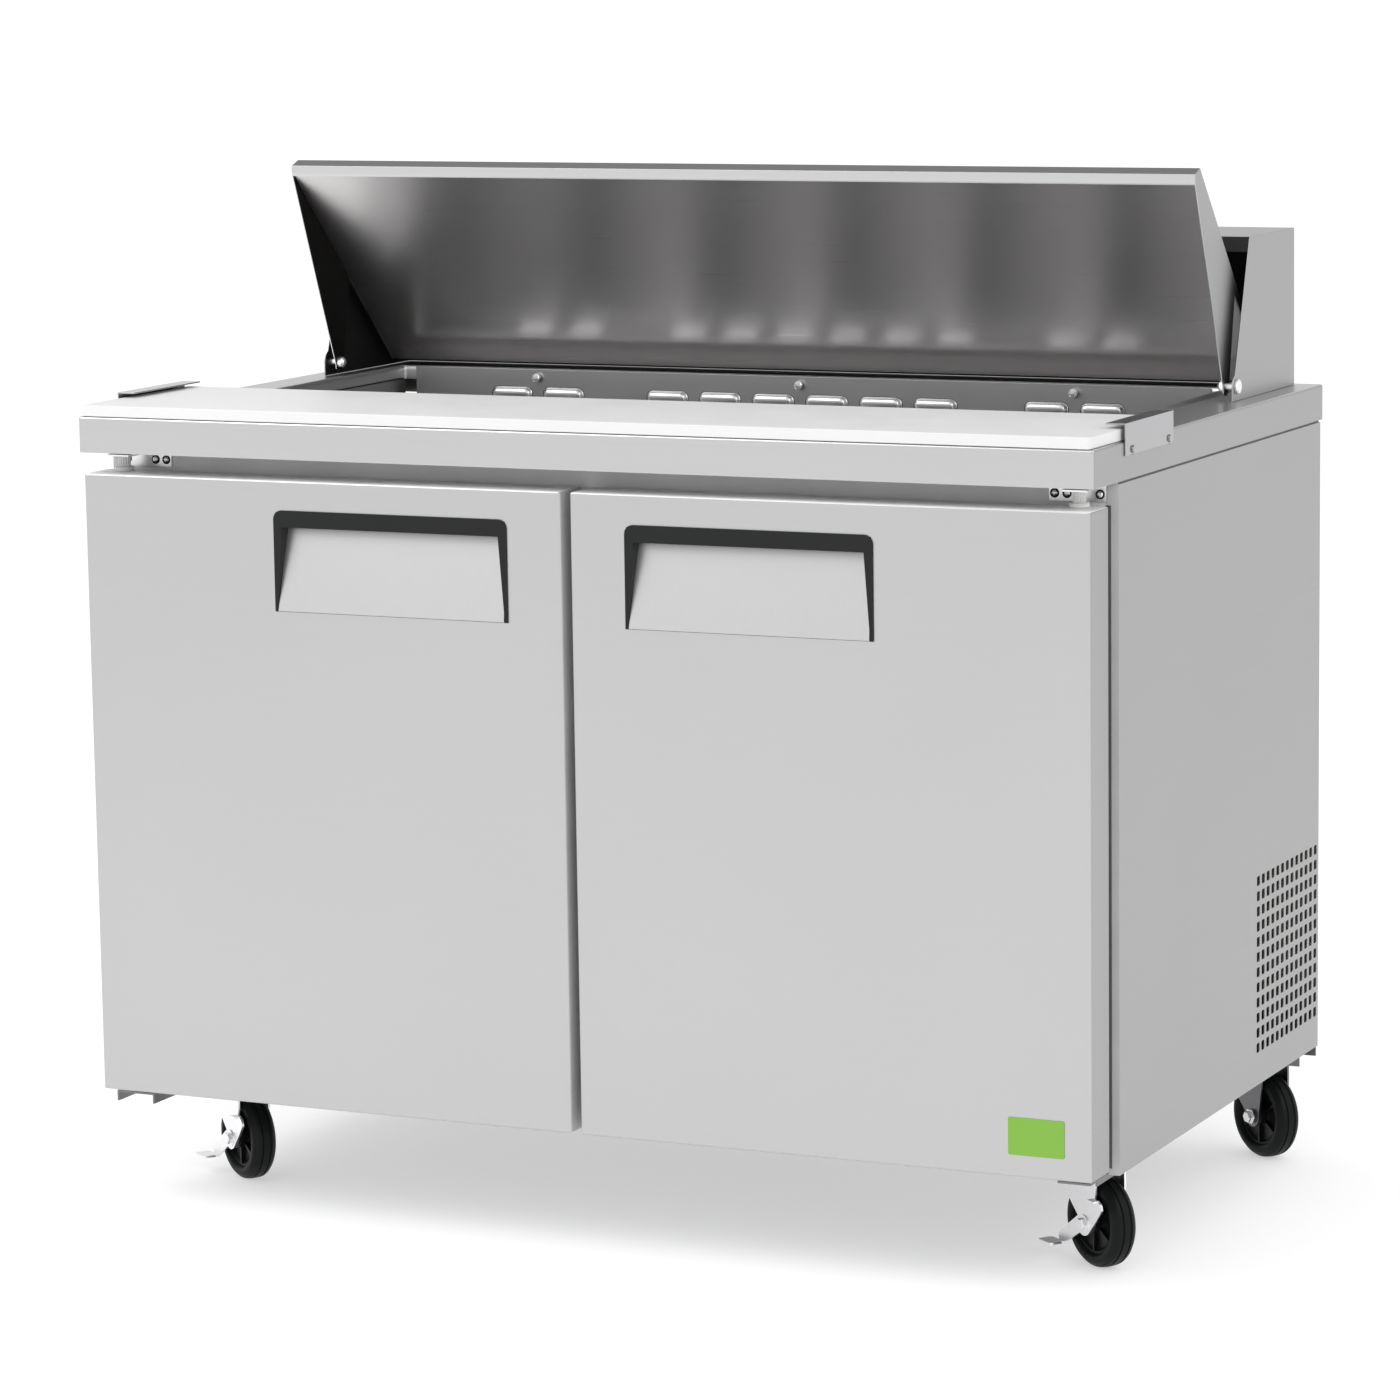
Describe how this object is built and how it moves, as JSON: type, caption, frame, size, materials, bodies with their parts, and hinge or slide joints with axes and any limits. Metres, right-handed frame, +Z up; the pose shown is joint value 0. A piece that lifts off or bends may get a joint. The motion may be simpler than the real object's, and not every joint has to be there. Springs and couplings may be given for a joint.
{
  "type": "sandwich prep table",
  "caption": "Refrigerated food preparation table with hinged doors, an opening lid over food pans, a sliding cutting board and swivel casters.",
  "frame": {"origin": "on the floor, under the middle of the overall box", "axes": "+X towards the right end seen from the front, which is the longest side; +Y towards the rear; +Z up; the doors face -Y"},
  "size_m": [1.2336, 0.762, 1.1813],
  "materials": {
    "brushed_steel": "brushed stainless steel sheet",
    "polished_steel": "bright polished stainless steel",
    "pan_steel": "satin stainless steel",
    "liner_aluminium": "plain aluminium sheet",
    "door_core": "pale inner pan over rigid foam",
    "bright_zinc": "bright zinc plate",
    "handle_plastic": "black moulded plastic around a steel pocket",
    "gasket_vinyl": "grey soft vinyl",
    "wheel_rubber": "black hard rubber tread and hub",
    "insulation_foam": "rigid polyurethane foam",
    "board_polyethylene": "white polyethylene",
    "coil_metal": "copper tube and aluminium fins",
    "black_enamel": "black enamel",
    "fan_plastic": "black plastic",
    "shelf_epoxy": "white epoxy coat"
  },
  "bodies": {
    "cabinet": {"back_panel": "brushed_steel", "base_pan": "brushed_steel", "board_bracket_left": "polished_steel", "board_bracket_right": "polished_steel", "cabinet_insulation": "insulation_foam", "cabinet_liner": "liner_aluminium", "caster_plate_front_left": "bright_zinc", "caster_plate_front_right": "bright_zinc", "caster_plate_rear_left": "bright_zinc", "caster_plate_rear_right": "bright_zinc", "compressor": "black_enamel", "condenser_coil": "coil_metal", "condenser_fan_motor": "black_enamel", "control_box": "black_enamel", "evaporator_coil": "coil_metal", "evaporator_fan_motor": "black_enamel", "face_frame": "liner_aluminium", "hinge_bracket_bottom_left": "bright_zinc", "hinge_bracket_bottom_right": "bright_zinc", "hinge_bracket_top_left": "bright_zinc", "hinge_bracket_top_right": "bright_zinc", "lid_pivot_left": "bright_zinc", "lid_pivot_right": "bright_zinc", "louvre_duct": "brushed_steel", "pan_support_frame": "brushed_steel", "rear_hood": "brushed_steel", "shelf_left": "shelf_epoxy", "shelf_right": "shelf_epoxy", "side_panel_left": "brushed_steel", "side_panel_right": "brushed_steel", "worktop": "brushed_steel"},
    "cutting_board": {"cutting_board": "board_polyethylene"},
    "lid": {"lid_shell": "brushed_steel", "lid_liner": "polished_steel"},
    "door_left": {"door_left_gasket": "gasket_vinyl", "door_left_handle": "handle_plastic", "door_left_liner": "door_core", "door_left_panel": "brushed_steel"},
    "door_right": {"door_right_gasket": "gasket_vinyl", "door_right_handle": "handle_plastic", "door_right_liner": "door_core", "door_right_panel": "brushed_steel"},
    "evaporator_fan": {"evaporator_fan_blade": "fan_plastic"},
    "condenser_fan": {"condenser_fan_blade": "fan_plastic"},
    "food_pan_1": {"food_pan_1": "pan_steel"},
    "food_pan_2": {"food_pan_2": "pan_steel"},
    "food_pan_3": {"food_pan_3": "pan_steel"},
    "food_pan_4": {"food_pan_4": "pan_steel"},
    "food_pan_5": {"food_pan_5": "pan_steel"},
    "food_pan_6": {"food_pan_6": "pan_steel"},
    "caster_front_left": {"caster_fork_front_left": "bright_zinc"},
    "wheel_front_left": {"caster_wheel_front_left": "wheel_rubber"},
    "brake_front_left": {"brake_pedal_front_left": "bright_zinc"},
    "caster_front_right": {"caster_fork_front_right": "bright_zinc"},
    "wheel_front_right": {"caster_wheel_front_right": "wheel_rubber"},
    "brake_front_right": {"brake_pedal_front_right": "bright_zinc"},
    "caster_rear_left": {"caster_fork_rear_left": "bright_zinc"},
    "wheel_rear_left": {"caster_wheel_rear_left": "wheel_rubber"},
    "caster_rear_right": {"caster_fork_rear_right": "bright_zinc"},
    "wheel_rear_right": {"caster_wheel_rear_right": "wheel_rubber"}
  },
  "joints": [
    {"name": "lid_hinge", "type": "hinge", "parent": "cabinet", "child": "lid", "pos_m": [0, 0.156, 0.9309], "axis": [-1, 0, 0], "range_deg": [-68, 0]},
    {"name": "cutting_board_slide", "type": "slide", "parent": "cabinet", "child": "cutting_board", "axis": [0, -1, 0], "range_m": [0, 0.25]},
    {"name": "door_left_hinge", "type": "hinge", "parent": "cabinet", "child": "door_left", "pos_m": [-0.58, -0.337, 0.5144], "axis": [0, 0, -1], "range_deg": [0, 90], "stiffness_Nm_per_rad": 2, "springref_deg": -20.05},
    {"name": "door_right_hinge", "type": "hinge", "parent": "cabinet", "child": "door_right", "pos_m": [0.58, -0.337, 0.5144], "axis": [0, 0, 1], "range_deg": [0, 90], "stiffness_Nm_per_rad": 2, "springref_deg": -20.05},
    {"name": "food_pan_1_lift", "type": "slide", "parent": "cabinet", "child": "food_pan_1", "axis": [0, 0, 1], "range_m": [0, 0.09]},
    {"name": "food_pan_2_lift", "type": "slide", "parent": "cabinet", "child": "food_pan_2", "axis": [0, 0, 1], "range_m": [0, 0.09]},
    {"name": "food_pan_3_lift", "type": "slide", "parent": "cabinet", "child": "food_pan_3", "axis": [0, 0, 1], "range_m": [0, 0.09]},
    {"name": "food_pan_4_lift", "type": "slide", "parent": "cabinet", "child": "food_pan_4", "axis": [0, 0, 1], "range_m": [0, 0.09]},
    {"name": "food_pan_5_lift", "type": "slide", "parent": "cabinet", "child": "food_pan_5", "axis": [0, 0, 1], "range_m": [0, 0.09]},
    {"name": "food_pan_6_lift", "type": "slide", "parent": "cabinet", "child": "food_pan_6", "axis": [0, 0, 1], "range_m": [0, 0.09]},
    {"name": "caster_front_left_swivel", "type": "hinge", "parent": "cabinet", "child": "caster_front_left", "pos_m": [-0.535, -0.201, 0.1], "axis": [0, 0, 1], "continuous": true},
    {"name": "wheel_front_left_roll", "type": "hinge", "parent": "caster_front_left", "child": "wheel_front_left", "pos_m": [-0.51206, -0.21706, 0.0508], "axis": [0.5736, 0.8192, 0], "continuous": true},
    {"name": "brake_front_left_press", "type": "hinge", "parent": "caster_front_left", "child": "brake_front_left", "pos_m": [-0.51206, -0.21706, 0.0508], "axis": [0.5736, 0.8192, 0], "range_deg": [-12, 0]},
    {"name": "caster_front_right_swivel", "type": "hinge", "parent": "cabinet", "child": "caster_front_right", "pos_m": [0.535, -0.201, 0.1], "axis": [0, 0, 1], "continuous": true},
    {"name": "wheel_front_right_roll", "type": "hinge", "parent": "caster_front_right", "child": "wheel_front_right", "pos_m": [0.55794, -0.21706, 0.0508], "axis": [0.5736, 0.8192, 0], "continuous": true},
    {"name": "brake_front_right_press", "type": "hinge", "parent": "caster_front_right", "child": "brake_front_right", "pos_m": [0.55794, -0.21706, 0.0508], "axis": [0.5736, 0.8192, 0], "range_deg": [-12, 0]},
    {"name": "caster_rear_left_swivel", "type": "hinge", "parent": "cabinet", "child": "caster_rear_left", "pos_m": [-0.542, 0.3386, 0.1], "axis": [0, 0, 1], "continuous": true},
    {"name": "wheel_rear_left_roll", "type": "hinge", "parent": "caster_rear_left", "child": "wheel_rear_left", "pos_m": [-0.51906, 0.32254, 0.0508], "axis": [0.5736, 0.8192, 0], "continuous": true},
    {"name": "caster_rear_right_swivel", "type": "hinge", "parent": "cabinet", "child": "caster_rear_right", "pos_m": [0.542, 0.3386, 0.1], "axis": [0, 0, 1], "continuous": true},
    {"name": "wheel_rear_right_roll", "type": "hinge", "parent": "caster_rear_right", "child": "wheel_rear_right", "pos_m": [0.56494, 0.32254, 0.0508], "axis": [0.5736, 0.8192, 0], "continuous": true},
    {"name": "evaporator_fan_spin", "type": "hinge", "parent": "cabinet", "child": "evaporator_fan", "pos_m": [0, 0.27, 0.6644], "axis": [0, 1, 0], "continuous": true},
    {"name": "condenser_fan_spin", "type": "hinge", "parent": "cabinet", "child": "condenser_fan", "pos_m": [0.48, 0.2465, 0.2544], "axis": [1, 0, 0], "continuous": true}
  ]
}
